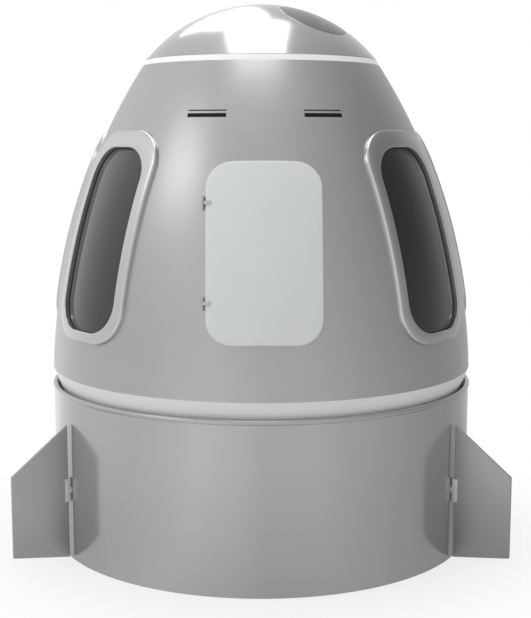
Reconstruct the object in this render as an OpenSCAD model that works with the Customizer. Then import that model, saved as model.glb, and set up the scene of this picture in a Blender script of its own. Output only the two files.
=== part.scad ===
// Space capsule seated in its finned skirt. Millimetres, +Z up.
// The origin is on the axis at the skirt's foot. Azimuth 0 faces -Y, where the side
// hatch is, and azimuths grow towards +X.

/* [Overall] */
// Outer radius of the skirt and of the capsule's widest edge
body_r = 2000; // [1800:10:2400]
// Height of the skirt's rim above the ground
skirt_h = 1522; // [1280:1:1800]
// Height of the band that shows between the rim and the cabin wall
band_show = 146; // [110:1:200]
// Height of the cabin wall, from the band to the nose ring
cabin_h = 2804; // [2600:1:3300]
// Outer radius of the cabin wall at its top
neck_r = 1115; // [950:1:1300]
// Radius of the arc that the cabin wall follows from band to neck
wall_arc_r = 5530; // [4600:10:7000]
// Height of the dome above the nose ring
dome_h = 512; // [400:1:640]

/* [Walls] */
// Thickness of the cabin wall and of the hatch's plug
wall_t = 60; // [45:1:75]
// Thickness of the skirt
skirt_t = 40; // [30:1:50]
// Thickness of the dome
dome_t = 40; // [25:1:60]
// Clearance between pieces that seat on each other along a curve
seat_gap = 0.3; // [0.2:0.1:0.5]

/* [Windows] */
// Azimuth of the first window on each side of the hatch
window_first_az = 51.8; // [50:0.1:55]
// Height of the glass's lower edge above the band
window_sill = 462; // [400:1:560]
// Height of the glass's upper edge above the band
window_head = 2052; // [1750:1:2120]
// Width of the glass at its upper edge
window_top_w = 772; // [650:1:820]
// Width of the glass at its lower edge
window_bottom_w = 832; // [700:1:880]
// Corner radius of the glass
window_corner = 285; // [230:1:310]
// Width of the frame beside the glass, at the frame's upper edge
frame_side_top = 104; // [85:1:120]
// Width of the frame beside the glass, at the frame's lower edge
frame_side_low = 95; // [80:1:110]
// Width of the frame above the glass
frame_head = 163; // [120:1:180]
// Width of the frame under the glass
frame_sill = 92; // [75:1:120]
// Corner radius of the frame
frame_corner = 335; // [280:1:360]
// How far the frame stands out of the wall
frame_proud = 40; // [25:1:50]
// Thickness of the glass
glass_t = 22; // [15:1:30]
// Depth of the glass's outer face behind the wall's skin
glass_depth = 8; // [0:1:20]

/* [Side hatch] */
// Azimuth of the hatch
hatch_az = 0.8; // [-3:0.1:3]
// Width of the hatch's outer panel
hatch_w = 968; // [820:1:1040]
// Height of the hatch's lower edge above the band
hatch_sill = 466; // [400:1:560]
// Height of the hatch's upper edge above the band
hatch_head = 1952; // [1700:1:2100]
// Corner radius of the outer panel
hatch_corner = 220; // [190:1:280]
// Width of the panel's lip around the plug
hatch_lip_w = 22; // [20:1:40]
// Thickness of the lip
hatch_lip_t = 12; // [10:1:20]
// Running clearance between the lip and the wall's skin
hatch_lip_gap = 6; // [5:1:9]
// Running clearance between the plug and its doorway
hatch_plug_gap = 12; // [11:1:14]
// Width of the doorway's inner frame
doorway_w = 70; // [50:1:90]
// Depth of the doorway's inner frame
doorway_t = 40; // [25:1:60]

/* [Hinge] */
// Distance of the hinge axis from the hatch's edge
hinge_out = 22; // [20:1:45]
// Height of the hinge axis above the skin at the two hinges
hinge_up = 24; // [22:1:45]
// Distance between the two hinges
hinge_span = 840; // [600:1:900]
// Diameter of the hinge pins
hinge_pin_d = 10; // [8:1:18]
// Diameter of the hinge barrels
hinge_barrel_d = 20; // [18:1:34]
// Length of one hinge with both its brackets
hinge_l = 108; // [90:1:180]

/* [Fins] */
// Azimuth of the two front fins
fin_front_az = 60; // [55:0.5:65]
// Distance of the fin's root from the skirt
fin_gap = 35; // [28:1:45]
// Radial length of the fin
fin_reach = 520; // [420:1:640]
// Height of the fin's lower root corner
fin_root_low = 15; // [10:1:60]
// Height of the fin's upper root corner
fin_root_high = 1250; // [1000:1:1300]
// Height of the fin's lower tip corner
fin_tip_low = 90; // [60:1:150]
// Height of the fin's upper tip corner
fin_tip_high = 834; // [700:1:950]
// Thickness of the fin's plate
fin_t = 30; // [20:1:40]
// Height of the fin's pivot
pivot_z = 646; // [540:1:760]
// Height and width of the pivot block
pivot_block = [216, 62];
// Diameter of the pivot shaft
shaft_d = 80; // [60:1:100]
// Running clearance of the shaft in its bearing, on the radius
shaft_fit = 0.1; // [0.02:0.02:0.1]

/* [Base] */
// Width of the base ring's flange
flange_w = 160; // [130:1:200]
// Thickness of the base ring's flange
flange_t = 30; // [20:1:40]
// Number of holes in the base ring
bolt_n = 24; // [12:1:36]
// Diameter of the holes in the base ring
bolt_d = 26; // [20:1:32]

/* [Nose] */
// Azimuth of the parachute cover on the dome
cover_az = 50.7; // [0:0.1:359]
// Angle of the cover's middle from the dome's top
cover_polar = 26.5; // [24:0.1:30]
// Diameter of the parachute cover
cover_d = 630; // [480:10:660]

/* [Hidden] */
$fn = 256;
eps = 1;
far = 6000;

// Heights, counted from the ground
band_z = skirt_h + band_show;
neck_z = band_z + cabin_h;
ring_h = 50;
ring_w = 70;
ring_step = 7;
ring_lean = 24;
seam_h = 8;
seam_step = 4;
seam_d = 14;
dome_z = neck_z + ring_h + seam_h;
ring_foot_r = neck_r - ring_step;
ring_top_r = ring_foot_r - ring_lean;
dome_base_r = ring_top_r - seam_step;
dome_r = (dome_base_r * dome_base_r + dome_h * dome_h) / (2 * dome_h);

// Centre of the cabin wall's arc, from its two ends and its radius
wall_chord = norm([body_r - neck_r, cabin_h]);
wall_lean = atan2(body_r - neck_r, cabin_h);
wall_back = sqrt(wall_arc_r * wall_arc_r - wall_chord * wall_chord / 4);
arc_x = (body_r + neck_r) / 2 - wall_back * cos(wall_lean);
arc_z = (band_z + neck_z) / 2 - wall_back * sin(wall_lean);

// Radius of the wall's skin at height z, moved out by a distance
function skin_r(z, out = 0) =
    arc_x + sqrt(pow(wall_arc_r + out, 2) - pow(z - arc_z, 2));
// Angle of the wall's outward normal above the horizontal, at height z
function wall_angle(z) = asin((z - arc_z) / wall_arc_r);
// Length of the wall's chord between two of its angles
function wall_chord_h(a0, a1) = 2 * wall_arc_r * sin((a1 - a0) / 2);

// Windows: every position round the cabin but the hatch's
window_n = 6;
window_pitch = (360 - 2 * window_first_az) / (window_n - 1);
window_a0 = wall_angle(band_z + window_sill);
window_a1 = wall_angle(band_z + window_head);
window_a = (window_a0 + window_a1) / 2;
window_h = wall_chord_h(window_a0, window_a1);
// Where the arcs' facets are centred in the windows: half a facet off their middle
window_facet_a = window_a + 180 / $fn;
neck_w = 40;
function window_az(i) = window_first_az + (i - 1) * window_pitch;

// Hatch
hatch_a0 = wall_angle(band_z + hatch_sill);
hatch_a1 = wall_angle(band_z + hatch_head);
hatch_a = (hatch_a0 + hatch_a1) / 2;
hatch_h = wall_chord_h(hatch_a0, hatch_a1);
plug_w = hatch_w - 2 * hatch_lip_w;
plug_h = hatch_h - 2 * hatch_lip_w;
plug_corner = hatch_corner - hatch_lip_w;
hatch_wall_r = arc_x + wall_arc_r * cos(hatch_a);
hatch_wall_z = arc_z + wall_arc_r * sin(hatch_a);
// Depth of the skin below the hatch's tangent plane at its side edge, x off the middle
// and y up from it
function skin_drop(x, y) =
    hatch_wall_r - sqrt(pow(hatch_wall_r, 2) - x * x)
    + wall_arc_r - sqrt(pow(wall_arc_r, 2) - y * y);
hinge_x = -hatch_w / 2 - hinge_out;
hinge_n = hinge_up - skin_drop(hinge_x, hinge_span / 2);

// Skirt and the capsule's seat in it
skirt_in_r = body_r - skirt_t;
rim_bead_r = 24;
rim_out = 10;
seat_drop = 182;
seat_z = skirt_h - seat_drop;
seat_t = 30;
seat_ring_fit = 15;
band_foot_r = body_r - 124;
shield_r = body_r - 200;
shield_drop = 260;
shield_t = 60;
band_hub_r = body_r - 200;
band_hub_h = 80;
band_in_r = skirt_in_r - 120;
band_top_t = 90;
floor_t = 40;
floor_z = band_z + floor_t;
shield_ball_r = (shield_r * shield_r + shield_drop * shield_drop) / (2 * shield_drop);

// Fins: azimuth of each
fin_az = [fin_front_az, 180, 360 - fin_front_az];
fin_root_r = body_r + fin_gap;
bearing_l = 170;
bearing_w = 240;
bearing_h = 300;
bearing_flange = 60;
bearing_flange_t = 40;
shaft_hole_gap = 8;
shaft_out = body_r + 8;
shaft_in = skirt_in_r - bearing_l - 30;
shaft_cap_d = 130;
shaft_cap_t = 16;

// Interior
bulkhead_t = 50;
bulkhead_z = neck_z - 90;
column_r = 330;
column_h = 1150;
seat_r = 1080;
seat_w = 500;
seat_pan_l = 540;
seat_pan_z = 330;
seat_pan_t = 130;
seat_back_l = 860;
seat_back_t = 130;
seat_back_lean = 18;
pedestal_w = 260;

// ---------------------------------------------------------------- shared shapes

// A ring of the cabin wall between two distances from its skin and two heights. Angle a is
// where on the wall the arcs' facets are centred
module wall_layer(inner, outer, z0, z1, a = 0) {
    rotate_extrude()
        intersection() {
            translate([arc_x, arc_z])
                rotate(a + 180)
                    difference() {
                        circle(r = wall_arc_r + outer);
                        circle(r = wall_arc_r + inner);
                    }
            translate([neck_r / 2, z0]) square([body_r, z1 - z0]);
        }
}

// Places children on the wall's skin: X along the wall, Y up it, Z out of it
module on_wall(az, a) {
    rotate([0, 0, az])
        translate([0, -(arc_x + wall_arc_r * cos(a)), arc_z + wall_arc_r * sin(a)])
            rotate([90 - a, 0, 0])
                children();
}

// Points of a round corner about a centre, from one direction to another
corner_steps = 8;
function corner(centre, r, from, to) =
    [for (k = [0:corner_steps])
        let (t = from + (to - from) * k / corner_steps)
        centre + r * [cos(t), sin(t)]];
function mirrored(points) =
    [for (k = [len(points) - 1:-1:0]) [-points[k].x, points[k].y]];

// A panel's outline with round corners, straight sides, and its own top and bottom widths
module panel_outline(top_w, bottom_w, h, r) {
    lean = atan((bottom_w - top_w) / 2 / h);
    side = bottom_w / 2 * cos(lean) - h / 2 * sin(lean);
    corner_y = h / 2 - r;
    top_x = (side - r - corner_y * sin(lean)) / cos(lean);
    low_x = (side - r + corner_y * sin(lean)) / cos(lean);
    right = concat(corner([low_x, -corner_y], r, -90, lean),
                   corner([top_x, corner_y], r, lean, 90));
    polygon(concat(right, mirrored(right)));
}

// A block through the wall at a window, wider than the glass by its sides, head and sill
module window_block(side_top, side_low, head, sill, corner) {
    on_wall(0, window_a)
        translate([0, (head - sill) / 2, -cut_in])
            linear_extrude(cut_in + cut_out)
                panel_outline(window_top_w + 2 * side_top, window_bottom_w + 2 * side_low,
                              window_h + head + sill, corner);
}

// The same, wider by one distance all round
module window_cut(grow) {
    window_block(grow, grow, grow, grow, window_corner + grow);
}

// The hatch's outline, grown by a distance from its plug
module hatch_cut(grow) {
    on_wall(hatch_az, hatch_a)
        translate([0, 0, -cut_in])
            linear_extrude(cut_in + cut_out)
                panel_outline(plug_w + 2 * grow, plug_w + 2 * grow, plug_h + 2 * grow,
                              plug_corner + grow);
}

// What the windows and the hatch are cut with reaches past them by these distances
cut_past = 300;
cut_in = 400;
cut_out = 200;
cut_lap = 20;
window_z0 = band_z + window_sill - cut_past;
window_z1 = band_z + window_head + cut_past;

// ---------------------------------------------------------------- skirt

module skirt_shell() {
    color([0.68, 0.67, 0.66])
    difference() {
        rotate_extrude() {
            translate([skirt_in_r, 0]) square([skirt_t, skirt_h - rim_bead_r]);
            translate([body_r + rim_out - rim_bead_r, skirt_h - rim_bead_r])
                circle(r = rim_bead_r);
        }
        for (az = fin_az)
            rotate([0, 0, az])
                translate([0, -body_r, pivot_z])
                    rotate([90, 0, 0])
                        cylinder(d = shaft_d + 2 * shaft_hole_gap, h = 4 * skirt_t, center = true);
    }
}

module skirt_base_ring() {
    color([0.6, 0.6, 0.6])
    difference() {
        cylinder(r = skirt_in_r - seat_gap, h = flange_t);
        translate([0, 0, -eps]) cylinder(r = skirt_in_r - flange_w, h = flange_t + 2 * eps);
        for (i = [0:bolt_n - 1])
            rotate([0, 0, i * 360 / bolt_n])
                translate([0, -(skirt_in_r - flange_w / 2), -eps])
                    cylinder(d = bolt_d, h = flange_t + 2 * eps);
    }
}

module skirt_seat_ring() {
    color([0.6, 0.6, 0.6])
    translate([0, 0, seat_z - seat_t])
    difference() {
        cylinder(r = skirt_in_r - seat_gap, h = seat_t);
        translate([0, 0, -eps]) cylinder(r = shield_r + seat_ring_fit, h = seat_t + 2 * eps);
    }
}

// Upright stiffeners inside the skirt, between the base ring and the seat ring
stringer_n = 24;
stringer_w = 50;
stringer_d = 70;
module skirt_stringers() {
    color([0.62, 0.62, 0.62])
    intersection() {
        for (i = [0:stringer_n - 1])
            rotate([0, 0, (i + 0.5) * 360 / stringer_n])
                translate([-stringer_w / 2, -skirt_in_r - eps, flange_t])
                    cube([stringer_w, stringer_d + eps, seat_z - seat_t - flange_t]);
        cylinder(r = skirt_in_r - seat_gap, h = skirt_h);
    }
}

// ---------------------------------------------------------------- fins

// Places children at a fin: X outwards along its pivot, Z up, Y across it
module at_fin(i) {
    rotate([0, 0, fin_az[i - 1] - 90]) children();
}

// A box behind the skirt at the pivot, wider than the bearing by a flange
module bearing_box(l, flange) {
    w = bearing_w + 2 * flange;
    h = bearing_h + 2 * flange;
    translate([skirt_in_r - l, -w / 2, pivot_z - h / 2]) cube([l + skirt_t, w, h]);
}

module fin_bearing(i) {
    color([0.55, 0.55, 0.57])
    at_fin(i)
    difference() {
        intersection() {
            union() {
                bearing_box(bearing_flange_t, bearing_flange);
                bearing_box(bearing_l, 0);
            }
            cylinder(r = skirt_in_r - seat_gap, h = skirt_h);
        }
        translate([0, 0, pivot_z])
            rotate([0, 90, 0])
                cylinder(d = shaft_d + 2 * shaft_fit, h = far);
    }
}

module fin_pivot(i) {
    color([0.45, 0.46, 0.48])
    at_fin(i) {
        translate([shaft_out, -pivot_block[1] / 2, pivot_z - pivot_block[0] / 2])
            cube([fin_root_r - shaft_out, pivot_block[1], pivot_block[0]]);
        translate([shaft_in, 0, pivot_z])
            rotate([0, 90, 0])
                cylinder(d = shaft_d, h = shaft_out - shaft_in + eps);
        translate([shaft_in - shaft_cap_t, 0, pivot_z])
            rotate([0, 90, 0])
                cylinder(d = shaft_cap_d, h = shaft_cap_t + eps);
    }
}

module fin(i) {
    color([0.5, 0.51, 0.53])
    at_fin(i)
    translate([0, fin_t / 2, 0])
        rotate([90, 0, 0])
            linear_extrude(fin_t)
                polygon([
                    [fin_root_r, fin_root_low],
                    [fin_root_r, fin_root_high],
                    [fin_root_r + fin_reach, fin_tip_high],
                    [fin_root_r + fin_reach, fin_tip_low]
                ]);
}

// ---------------------------------------------------------------- capsule's base

module base_band() {
    color([0.85, 0.84, 0.8])
    rotate_extrude()
        polygon([
            [body_r, band_z],
            [band_foot_r, seat_z],
            [band_hub_r, seat_z],
            [band_hub_r, seat_z + band_hub_h],
            [band_in_r, band_z - band_top_t],
            [band_in_r, band_z]
        ]);
}

module heat_shield() {
    color([0.3, 0.28, 0.26])
    intersection() {
        difference() {
            shield_ball(shield_ball_r);
            translate([0, 0, shield_t]) shield_ball(shield_ball_r);
        }
        translate([0, 0, seat_z - shield_drop - eps])
            cylinder(r = shield_r - seat_gap, h = shield_drop + shield_t + eps);
    }
}

module shield_ball(r) {
    translate([0, 0, seat_z - shield_drop + shield_ball_r]) sphere(r = r);
}

// Braking motors: nozzles in a ring, their heads against the shield
retro_n = 6;
retro_ring_r = 420;
nozzle_h = 90;
nozzle_mouth_r = 120;
nozzle_throat_r = 70;
nozzle_wall = 12;
throat_r = 40;
motor_r = 84;
motor_h = 90;
motor_lap = 30;
motor_fn = 96;
retro_z = seat_z - shield_drop - 100;
module retro_motors() {
    color([0.35, 0.35, 0.36])
    difference() {
        for (i = [0:retro_n - 1])
            rotate([0, 0, i * 360 / retro_n])
                translate([0, retro_ring_r, retro_z]) {
                    cylinder(r1 = nozzle_mouth_r, r2 = nozzle_throat_r, h = nozzle_h, $fn = motor_fn);
                    translate([0, 0, nozzle_h - motor_lap])
                        cylinder(r = motor_r, h = motor_h, $fn = motor_fn);
                }
        for (i = [0:retro_n - 1])
            rotate([0, 0, i * 360 / retro_n])
                translate([0, retro_ring_r, retro_z - eps])
                    cylinder(r1 = nozzle_mouth_r - nozzle_wall, r2 = throat_r, h = nozzle_h,
                             $fn = motor_fn);
        shield_ball(shield_ball_r + seat_gap);
    }
}

module cabin_floor() {
    color([0.5, 0.5, 0.52])
    translate([0, 0, band_z])
        cylinder(r = min(skin_r(band_z, -wall_t), skin_r(floor_z, -wall_t)) - seat_gap, h = floor_t);
}

// ---------------------------------------------------------------- cabin

module cabin_shell() {
    color([0.8, 0.8, 0.79])
    difference() {
        wall_layer(-wall_t, 0, band_z, neck_z);
        for (i = [1:window_n])
            rotate([0, 0, window_az(i)])
                window_cut(neck_w + seat_gap);
        hatch_cut(hatch_plug_gap);
    }
}

module doorway_frame() {
    color([0.6, 0.61, 0.62])
    difference() {
        intersection() {
            wall_layer(-wall_t - doorway_t, -wall_t - seat_gap, window_z0, window_z1, hatch_a);
            hatch_cut(hatch_plug_gap + doorway_w);
        }
        hatch_cut(hatch_plug_gap);
    }
}

module window_frame(i) {
    color([0.72, 0.72, 0.73])
    rotate([0, 0, window_az(i)])
    difference() {
        intersection() {
            wall_layer(-wall_t, frame_proud, window_z0, window_z1, window_facet_a);
            window_block(frame_side_top, frame_side_low, frame_head, frame_sill, frame_corner);
        }
        difference() {
            wall_layer(-wall_t - cut_lap, seat_gap, window_z0 - cut_lap, window_z1 + cut_lap,
                       window_facet_a);
            window_cut(neck_w);
        }
        window_cut(0);
    }
}

module window_glass(i) {
    color([0.16, 0.17, 0.2])
    rotate([0, 0, window_az(i)])
    intersection() {
        wall_layer(-glass_depth - glass_t, -glass_depth, window_z0, window_z1, window_facet_a);
        window_cut(-seat_gap);
    }
}

module upper_bulkhead() {
    color([0.6, 0.6, 0.62])
    translate([0, 0, bulkhead_z])
        cylinder(r = skin_r(bulkhead_z + bulkhead_t, -wall_t) - seat_gap, h = bulkhead_t);
}

module nose_ring() {
    color([0.96, 0.96, 0.96])
    translate([0, 0, neck_z])
    difference() {
        cylinder(r1 = ring_foot_r, r2 = ring_top_r, h = ring_h);
        translate([0, 0, -eps]) cylinder(r = ring_top_r - ring_w, h = ring_h + 2 * eps);
    }
}

// The dome's foot is a plain band that leaves a seam above the ring
module dome_layer() {
    difference() {
        sphere(r = dome_r);
        sphere(r = dome_r - dome_t);
    }
}

// Places children at the dome's centre, Z towards the middle of the cover
module at_cover() {
    translate([0, 0, dome_z + dome_h - dome_r])
        rotate([0, 0, cover_az])
            rotate([cover_polar, 0, 0])
                children();
}

module nose_dome() {
    color([0.75, 0.75, 0.76])
    difference() {
        intersection() {
            translate([0, 0, dome_z + dome_h - dome_r]) dome_layer();
            translate([0, 0, dome_z]) cylinder(r = 2 * dome_r, h = dome_r);
        }
        at_cover() cylinder(d = cover_d + 2 * seat_gap, h = 2 * dome_r);
    }
    color([0.25, 0.25, 0.25])
    translate([0, 0, dome_z - seam_h])
        difference() {
            cylinder(r = dome_base_r - seam_d, h = seam_h + eps);
            translate([0, 0, -eps]) cylinder(r = dome_base_r - dome_t, h = seam_h + 3 * eps);
        }
}

// The round cover over the parachutes, flush with the dome
module drogue_cover() {
    color([0.5, 0.5, 0.5])
    at_cover()
    intersection() {
        dome_layer();
        cylinder(d = cover_d, h = 2 * dome_r);
    }
}

// ---------------------------------------------------------------- inside the cabin

module centre_column() {
    color([0.75, 0.75, 0.75])
    translate([0, 0, floor_z])
        cylinder(r = column_r, h = column_h);
}

// One reclined seat on its pedestal, its back towards the column
module seat(i) {
    color([0.25, 0.27, 0.32])
    rotate([0, 0, window_az(i)])
    translate([0, -seat_r, floor_z]) {
        translate([-pedestal_w / 2, -pedestal_w / 2, seat_gap])
            cube([pedestal_w, pedestal_w, seat_pan_z]);
        translate([-seat_w / 2, -seat_pan_l / 2, seat_pan_z])
            cube([seat_w, seat_pan_l, seat_pan_t]);
        translate([-seat_w / 2, seat_pan_l / 2, seat_pan_z])
            rotate([-seat_back_lean, 0, 0])
                translate([0, -seat_back_t, 0]) cube([seat_w, seat_back_t, seat_back_l]);
    }
}

// ---------------------------------------------------------------- hatch

// The wheel inside the hatch that works its latches
wheel_r = 130;
wheel_in_r = 104;
wheel_t = 24;
wheel_stand = 70;
wheel_hub_r = 30;
spoke_n = 3;
spoke_w = 20;
spoke_t = 18;
module hatch_handle() {
    color([0.3, 0.3, 0.32])
    on_wall(hatch_az, hatch_a)
        translate([0, 0, -wall_t - wheel_stand]) {
            difference() {
                cylinder(r = wheel_r, h = wheel_t);
                translate([0, 0, -eps]) cylinder(r = wheel_in_r, h = wheel_t + 2 * eps);
            }
            for (i = [0:spoke_n - 1])
                rotate([0, 0, i * 360 / spoke_n])
                    translate([0, -spoke_w / 2, (wheel_t - spoke_t) / 2])
                        cube([(wheel_r + wheel_in_r) / 2, spoke_w, spoke_t]);
            cylinder(r = wheel_hub_r, h = wheel_stand - seat_gap);
        }
}

module side_hatch() {
    color([0.81, 0.82, 0.81])
    union() {
        intersection() {
            wall_layer(-wall_t, hatch_lip_gap + hatch_lip_t / 2, window_z0, window_z1);
            hatch_cut(0);
        }
        intersection() {
            wall_layer(hatch_lip_gap, hatch_lip_gap + hatch_lip_t, window_z0, window_z1);
            hatch_cut(hatch_lip_w);
        }
    }
}

// A point of the hatch's own frame (X along the wall, Y up it, Z out of it) in the
// cabin's frame, then the skin's normal under it and its distance from the skin
function hatch_point(p) = [
    p.x,
    p.y * sin(hatch_a) - p.z * cos(hatch_a) - hatch_wall_r,
    hatch_wall_z + p.y * cos(hatch_a) + p.z * sin(hatch_a)
];
function skin_polar(q) = [norm([q.x, q.y]) - arc_x, q.z - arc_z];
function skin_out(p) = norm(skin_polar(hatch_point(p))) - wall_arc_r;
function skin_normal(p) =
    let (q = hatch_point(p), az = atan2(q.x, -q.y), w = skin_polar(q), a = atan2(w.y, w.x))
    [sin(az) * cos(a),
     sin(a) * cos(hatch_a) - cos(az) * cos(a) * sin(hatch_a),
     cos(az) * cos(a) * cos(hatch_a) + sin(a) * sin(hatch_a)];

// Places children on the skin under a point of the hatch's frame
module on_skin_under(p) {
    n = skin_normal(p);
    translate(p)
        rotate([-asin(n.y), atan2(n.x, n.z), 0])
            translate([0, 0, -skin_out(p)])
                children();
}

// On the wall, at each hinge: two lugs, each with its knuckle, and the pin
knuckle_l = hinge_l / 3;
knuckle_gap = 2;
pin_fit = 0.1;
lug_w = knuckle_l - 4;
module hatch_hinge_brackets() {
    color([0.7, 0.7, 0.7])
    on_wall(hatch_az, hatch_a)
        for (end = [-1, 1]) {
            middle = [hinge_x, end * hinge_span / 2, hinge_n];
            translate(middle) rotate([90, 0, 0])
                cylinder(d = hinge_pin_d, h = hinge_l, center = true);
            for (side = [-1, 1]) {
                lug = middle + [0, side * knuckle_l, 0];
                translate(lug) rotate([90, 0, 0])
                    cylinder(d = hinge_barrel_d, h = knuckle_l, center = true);
                on_skin_under(lug)
                    translate([-hinge_barrel_d / 2, -lug_w / 2, 2 * seat_gap])
                        cube([hinge_barrel_d, lug_w, skin_out(lug) - 2 * seat_gap]);
            }
        }
}

// On the hatch, at each hinge: the middle knuckle and the leaf that lies on the panel
leaf_l = 40;
leaf_t = 8;
leaf_w = knuckle_l - 6;
module hatch_hinge_arms() {
    color([0.72, 0.72, 0.72])
    on_wall(hatch_az, hatch_a)
        for (end = [-1, 1]) {
            middle = [hinge_x, end * hinge_span / 2, hinge_n];
            reach = hinge_out + leaf_l / 2;
            leaf = middle + [reach, 0, hinge_up];
            difference() {
                union() {
                    translate(middle) rotate([90, 0, 0])
                        cylinder(d = hinge_barrel_d, h = knuckle_l - 2 * knuckle_gap, center = true);
                    on_skin_under(leaf)
                        translate([-reach, -leaf_w / 2, hatch_lip_gap + hatch_lip_t + 2 * seat_gap])
                            cube([reach + leaf_l / 2, leaf_w, leaf_t]);
                }
                translate(middle) rotate([90, 0, 0])
                    cylinder(d = hinge_pin_d + 2 * pin_fit, h = hinge_l, center = true);
            }
        }
}

// ---------------------------------------------------------------- nodes

skirt_shell();
skirt_base_ring();
skirt_seat_ring();
skirt_stringers();
heat_shield();
retro_motors();
base_band();
cabin_floor();
cabin_shell();
doorway_frame();
upper_bulkhead();
nose_ring();
nose_dome();
drogue_cover();
centre_column();
for (i = [1:window_n]) {
    window_frame(i);
    window_glass(i);
    seat(i);
}
for (i = [1:3]) {
    fin_bearing(i);
    fin_pivot(i);
    fin(i);
}
hatch_hinge_brackets();
side_hatch();
hatch_hinge_arms();
hatch_handle();
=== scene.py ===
"""The space capsule's looks: finishes, soft seats, fittings, studio and camera, in metres."""
import math
import bmesh
import bpy
from mathutils import Matrix, Vector


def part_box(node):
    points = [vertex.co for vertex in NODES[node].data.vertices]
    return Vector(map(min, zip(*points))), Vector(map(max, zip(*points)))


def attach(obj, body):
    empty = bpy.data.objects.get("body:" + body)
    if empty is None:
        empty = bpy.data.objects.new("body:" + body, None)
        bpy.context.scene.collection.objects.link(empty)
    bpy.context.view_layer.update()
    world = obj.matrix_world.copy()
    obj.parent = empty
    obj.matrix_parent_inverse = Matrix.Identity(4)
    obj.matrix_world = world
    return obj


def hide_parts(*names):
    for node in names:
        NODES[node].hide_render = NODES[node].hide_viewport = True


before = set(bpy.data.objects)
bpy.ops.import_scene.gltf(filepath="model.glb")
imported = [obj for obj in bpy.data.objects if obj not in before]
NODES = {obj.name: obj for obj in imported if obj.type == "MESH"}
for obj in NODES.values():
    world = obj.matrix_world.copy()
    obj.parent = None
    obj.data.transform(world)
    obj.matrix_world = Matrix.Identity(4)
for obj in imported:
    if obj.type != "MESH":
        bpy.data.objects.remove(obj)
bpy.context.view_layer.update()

scene = bpy.context.scene


# ---------------------------------------------------------------- sizes, as in the part

FLOOR_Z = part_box("cabin_floor")[1].z
BAND_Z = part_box("cabin_shell")[0].z
NECK_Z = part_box("cabin_shell")[1].z
BODY_R = 2.0
NECK_R = 1.115
WALL_ARC_R = 5.53
WALL_T = 0.06
DOME_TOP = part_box("nose_dome")[1].z
DOME_H = 0.512
DOME_BASE_R = 1.08

WINDOW_FIRST_AZ = 51.8
WINDOW_N = 6
WINDOW_PITCH = (360 - 2 * WINDOW_FIRST_AZ) / (WINDOW_N - 1)
WINDOW_SILL, WINDOW_HEAD = 0.462, 2.052
WINDOW_TOP_W, WINDOW_BOTTOM_W, WINDOW_CORNER = 0.772, 0.832, 0.285
FRAME_SIDES, FRAME_HEAD, FRAME_SILL, FRAME_CORNER = (0.104, 0.095), 0.163, 0.092, 0.335
FRAME_PROUD, NECK_W, GLASS_DEPTH = 0.04, 0.04, 0.008

HATCH_AZ = 0.8
HATCH_SILL, HATCH_HEAD = 0.466, 1.952
HATCH_W, HATCH_CORNER = 0.968, 0.22
LIP_W, LIP_T, LIP_GAP = 0.022, 0.012, 0.006

FIN_AZ = (60, 180, 300)
FIN_ROOT_R, FIN_REACH, FIN_T = 2.035, 0.52, 0.03
FIN_ROOT = (0.015, 1.25)
FIN_TIP = (0.09, 0.834)
PIVOT_Z, PIVOT_H, PIVOT_W, SHAFT_OUT_R = 0.646, 0.216, 0.062, 2.008

COVER_AZ, COVER_POLAR, COVER_D = 50.7, 26.5, 0.63
SEAT_R = 1.08

chord = math.hypot(BODY_R - NECK_R, NECK_Z - BAND_Z)
lean = math.atan2(BODY_R - NECK_R, NECK_Z - BAND_Z)
back = math.sqrt(WALL_ARC_R ** 2 - chord ** 2 / 4)
ARC_X = (BODY_R + NECK_R) / 2 - back * math.cos(lean)
ARC_Z = (BAND_Z + NECK_Z) / 2 - back * math.sin(lean)


def wall_angle(z):
    return math.asin((z - ARC_Z) / WALL_ARC_R)


def skin_r(z, out=0.0):
    return ARC_X + math.sqrt((WALL_ARC_R + out) ** 2 - (z - ARC_Z) ** 2)


def middle_and_height(sill, head):
    """The wall's angle at the middle of an opening, and the opening's height along it."""
    low, high = wall_angle(BAND_Z + sill), wall_angle(BAND_Z + head)
    return (low + high) / 2, 2 * WALL_ARC_R * math.sin((high - low) / 2)


def ring_point(radius, azimuth, height):
    turn = math.radians(azimuth)
    return Vector((radius * math.sin(turn), -radius * math.cos(turn), height))


WINDOW_A, WINDOW_H = middle_and_height(WINDOW_SILL, WINDOW_HEAD)
HATCH_A, HATCH_H = middle_and_height(HATCH_SILL, HATCH_HEAD)


def on_wall(azimuth, angle, x, y, out):
    """The point x along the wall and y up it from a place on it, at a distance off the skin."""
    radius = ARC_X + WALL_ARC_R * math.cos(angle)
    height = ARC_Z + WALL_ARC_R * math.sin(angle)
    n = out
    for _ in range(6):
        px = x
        py = y * math.sin(angle) - n * math.cos(angle) - radius
        pz = height + y * math.cos(angle) + n * math.sin(angle)
        n += out - (math.hypot(math.hypot(px, py) - ARC_X, pz - ARC_Z) - WALL_ARC_R)
    turn = math.radians(azimuth)
    return Vector((px * math.cos(turn) - py * math.sin(turn),
                   px * math.sin(turn) + py * math.cos(turn), pz))


CORNER_STEPS, SIDE_STEPS, END_STEPS = 10, 18, 6


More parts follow.
